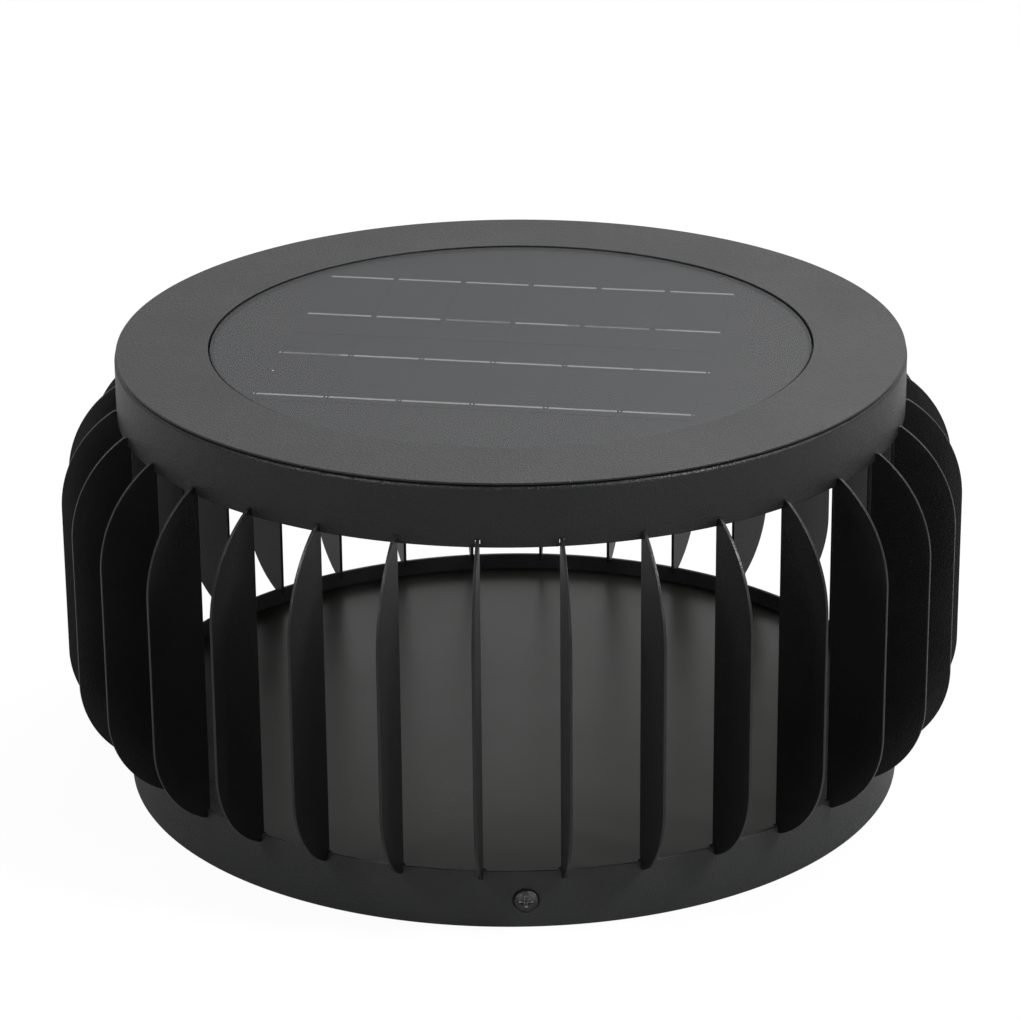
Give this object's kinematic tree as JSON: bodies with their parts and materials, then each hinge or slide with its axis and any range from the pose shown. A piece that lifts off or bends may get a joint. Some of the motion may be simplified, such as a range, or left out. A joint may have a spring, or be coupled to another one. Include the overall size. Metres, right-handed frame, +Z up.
{
  "type": "solar pillar light",
  "caption": "Round solar light for the top of a pillar: a cage of flat radial fins between a base drum and a cap with a solar panel.",
  "frame": {"origin": "centre of the underside, where the mounting plate and the base drum rest on the pillar", "axes": "+Z up along the lamp's axis; -Y is the front, through one side screw; +X to the right seen from the front"},
  "size_m": [0.3438, 0.3438, 0.172],
  "materials": {
    "black_powder_coat": "fine-textured matt powder coat",
    "fin_powder_coat": "fine-textured matt powder coat on laser-cut sheet",
    "semi_gloss_black": "semi-gloss smooth coat",
    "black_zinc_screw": "black zinc, satin",
    "zinc_fastener": "bright zinc",
    "zinc_plate": "zinc-plated sheet",
    "foam_rubber": "closed-cell foam",
    "circuit_board": "green solder mask",
    "white_board": "white solder mask",
    "solar_cell": "dark silicon",
    "tinned_ribbon": "tinned copper, satin",
    "panel_laminate": "satin anti-glare film",
    "led_phosphor": "yellow phosphor",
    "nylon": "natural nylon",
    "opal_diffuser": "opal, satin",
    "battery_wrap": "shrink sleeve",
    "black_moulding": "moulded",
    "component_black": "moulded electronic parts",
    "button_rubber": "soft touch",
    "lead_insulation": "PVC insulation"
  },
  "bodies": {
    "mount": {"mounting_plate": "zinc_plate"},
    "lamp": {"base_drum": "black_powder_coat", "battery_cells": "battery_wrap", "battery_holder": "black_moulding", "board_posts": "nylon", "cap_shell": "black_powder_coat", "cell_ribbons": "tinned_ribbon", "controller_board": "circuit_board", "controller_parts": "component_black", "diffuser": "opal_diffuser", "diffuser_gasket": "foam_rubber", "fin_01": "fin_powder_coat", "fin_02": "fin_powder_coat", "fin_03": "fin_powder_coat", "fin_04": "fin_powder_coat", "fin_05": "fin_powder_coat", "fin_06": "fin_powder_coat", "fin_07": "fin_powder_coat", "fin_08": "fin_powder_coat", "fin_09": "fin_powder_coat", "fin_10": "fin_powder_coat", "fin_11": "fin_powder_coat", "fin_12": "fin_powder_coat", "fin_13": "fin_powder_coat", "fin_14": "fin_powder_coat", "fin_15": "fin_powder_coat", "fin_16": "fin_powder_coat", "fin_17": "fin_powder_coat", "fin_18": "fin_powder_coat", "fin_19": "fin_powder_coat", "fin_20": "fin_powder_coat", "fin_21": "fin_powder_coat", "fin_22": "fin_powder_coat", "fin_23": "fin_powder_coat", "fin_24": "fin_powder_coat", "fin_25": "fin_powder_coat", "fin_26": "fin_powder_coat", "fin_27": "fin_powder_coat", "fin_28": "fin_powder_coat", "fin_29": "fin_powder_coat", "fin_30": "fin_powder_coat", "fin_31": "fin_powder_coat", "fin_32": "fin_powder_coat", "floor_plate": "semi_gloss_black", "led_board": "white_board", "led_spacers": "nylon", "leds": "led_phosphor", "panel_backboard": "circuit_board", "panel_cover": "panel_laminate", "panel_gasket": "foam_rubber", "side_nuts": "zinc_fastener", "side_screws": "black_zinc_screw", "solar_cells": "solar_cell", "switch_body": "black_moulding", "switch_nut": "zinc_fastener", "underplate": "black_powder_coat", "underplate_screws": "black_zinc_screw", "underplate_standoffs": "zinc_fastener", "wiring": "lead_insulation"},
    "button": {"switch_button": "button_rubber"}
  },
  "joints": [
    {"name": "lamp_lift", "type": "slide", "parent": "mount", "child": "lamp", "axis": [0, 0, 1], "range_m": [0, 0.03]},
    {"name": "switch_press", "type": "slide", "parent": "lamp", "child": "button", "axis": [0, 0, 1], "range_m": [0, 0.0012], "stiffness_N_per_m": 400}
  ]
}
